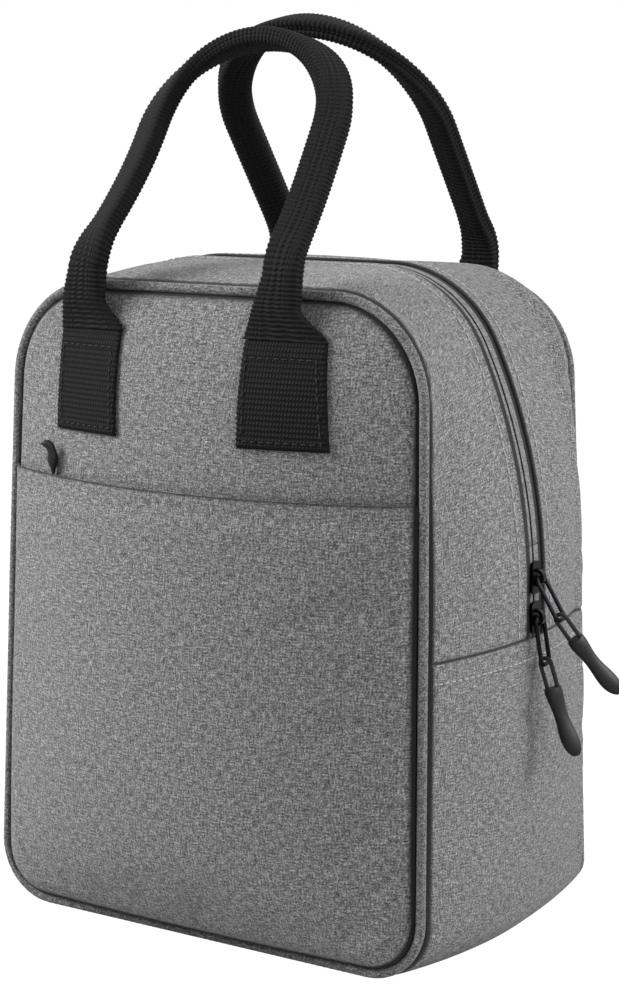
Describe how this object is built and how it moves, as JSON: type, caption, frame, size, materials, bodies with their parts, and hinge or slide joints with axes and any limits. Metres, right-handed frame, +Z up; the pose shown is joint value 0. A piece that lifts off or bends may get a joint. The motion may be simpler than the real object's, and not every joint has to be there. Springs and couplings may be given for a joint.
{
  "type": "insulated lunch bag",
  "caption": "Soft insulated lunch bag with a zipped clamshell mouth, front zip pocket, piped edges and webbing carry handles.",
  "frame": {"origin": "floor level under the middle of the base", "axes": "+Z up, front with the pocket towards -Y, the side with the zip pulls towards +X"},
  "size_m": [0.2616, 0.1932, 0.3784],
  "materials": {
    "grey_cloth": "matte heathered weave",
    "foam": "matte closed-cell foam",
    "lining": "satin foil-coated",
    "piping": "matte",
    "webbing": "matte woven",
    "zip_tape": "matte woven",
    "zip_coil": "satin",
    "dark_metal": "satin",
    "cord": "matte braided",
    "rubber": "matte moulded"
  },
  "bodies": {
    "base": {"lower_gusset": "grey_cloth", "lower_gusset_foam": "foam", "lower_gusset_lining": "lining", "front_panel_lower": "grey_cloth", "front_panel_lower_foam": "foam", "front_panel_lower_lining": "lining", "back_panel_lower": "grey_cloth", "back_panel_lower_foam": "foam", "back_panel_lower_lining": "lining", "pocket_panel_lower": "grey_cloth", "front_piping_lower": "piping", "back_piping_lower": "piping", "zip_end_left": "zip_tape", "zip_end_right": "zip_tape", "zip_stops": "dark_metal"},
    "front_flap": {"front_panel_upper": "grey_cloth", "front_panel_upper_foam": "foam", "front_panel_upper_lining": "lining", "front_gusset_upper": "grey_cloth", "front_gusset_upper_foam": "foam", "front_gusset_upper_lining": "lining", "front_piping_upper": "piping", "zip_tape_front": "zip_tape", "zip_coil_front": "zip_coil", "front_handle_left_end": "webbing", "front_handle_right_end": "webbing", "pocket_panel_upper": "grey_cloth", "pocket_zip_tape": "zip_tape"},
    "back_flap": {"back_panel_upper": "grey_cloth", "back_panel_upper_foam": "foam", "back_panel_upper_lining": "lining", "back_gusset_upper": "grey_cloth", "back_gusset_upper_foam": "foam", "back_gusset_upper_lining": "lining", "back_piping_upper": "piping", "zip_tape_back": "zip_tape", "zip_coil_back": "zip_coil", "back_handle_left_end": "webbing", "back_handle_right_end": "webbing"},
    "front_handle": {"front_handle": "webbing"},
    "back_handle": {"back_handle": "webbing"},
    "upper_slider": {"upper_slider": "dark_metal"},
    "upper_link": {"upper_link": "dark_metal"},
    "upper_pull": {"upper_pull_cord": "cord", "upper_pull_grip": "rubber"},
    "lower_slider": {"lower_slider": "dark_metal"},
    "lower_link": {"lower_link": "dark_metal"},
    "lower_pull": {"lower_pull_cord": "cord", "lower_pull_grip": "rubber"},
    "pocket_slider": {"pocket_slider": "dark_metal", "pocket_pull_cord": "cord"},
    "pocket_pull": {"pocket_pull": "rubber"}
  },
  "joints": [
    {"name": "front_flap_fold", "type": "hinge", "parent": "base", "child": "front_flap", "pos_m": [0, -0.09715, 0.128], "axis": [1, 0, 0], "range_deg": [0, 30]},
    {"name": "back_flap_fold", "type": "hinge", "parent": "base", "child": "back_flap", "pos_m": [0, 0.09375, 0.128], "axis": [-1, 0, 0], "range_deg": [0, 30]},
    {"name": "front_handle_swing", "type": "hinge", "parent": "front_flap", "child": "front_handle", "pos_m": [0, -0.076, 0.25], "axis": [1, 0, 0], "range_deg": [0, 150]},
    {"name": "back_handle_swing", "type": "hinge", "parent": "back_flap", "child": "back_handle", "pos_m": [0, 0.076, 0.25], "axis": [-1, 0, 0], "range_deg": [0, 150]},
    {"name": "upper_slider_run", "type": "hinge", "parent": "base", "child": "upper_slider", "pos_m": [-0.1155, 0, 0.145], "axis": [0, -1, 0], "range_deg": [0, 21]},
    {"name": "upper_link_swing", "type": "hinge", "parent": "upper_slider", "child": "upper_link", "pos_m": [0.11618, 0, 0.15256], "axis": [0, -1, 0], "range_deg": [-8, 110]},
    {"name": "upper_pull_swing", "type": "hinge", "parent": "upper_link", "child": "upper_pull", "pos_m": [0.12621, 0, 0.13642], "axis": [0, -1, 0], "range_deg": [-22, 60]},
    {"name": "lower_slider_run", "type": "slide", "parent": "base", "child": "lower_slider", "axis": [0, 0, 1], "range_m": [0, 0.003]},
    {"name": "lower_link_swing", "type": "hinge", "parent": "lower_slider", "child": "lower_link", "pos_m": [0.1163, 0, 0.136], "axis": [0, -1, 0], "range_deg": [-3, 30]},
    {"name": "lower_pull_swing", "type": "hinge", "parent": "lower_link", "child": "lower_pull", "pos_m": [0.1196, 0, 0.11729], "axis": [0, -1, 0], "range_deg": [-8, 40]},
    {"name": "pocket_slider_run", "type": "hinge", "parent": "front_flap", "child": "pocket_slider", "pos_m": [0, 0.11853, 0.181], "axis": [0, 0, 1], "range_deg": [-3, 31]},
    {"name": "pocket_pull_swing", "type": "hinge", "parent": "pocket_slider", "child": "pocket_pull", "pos_m": [-0.067, -0.08101, 0.1904], "axis": [0.9519, -0.3064, 0], "range_deg": [0, 30]}
  ]
}
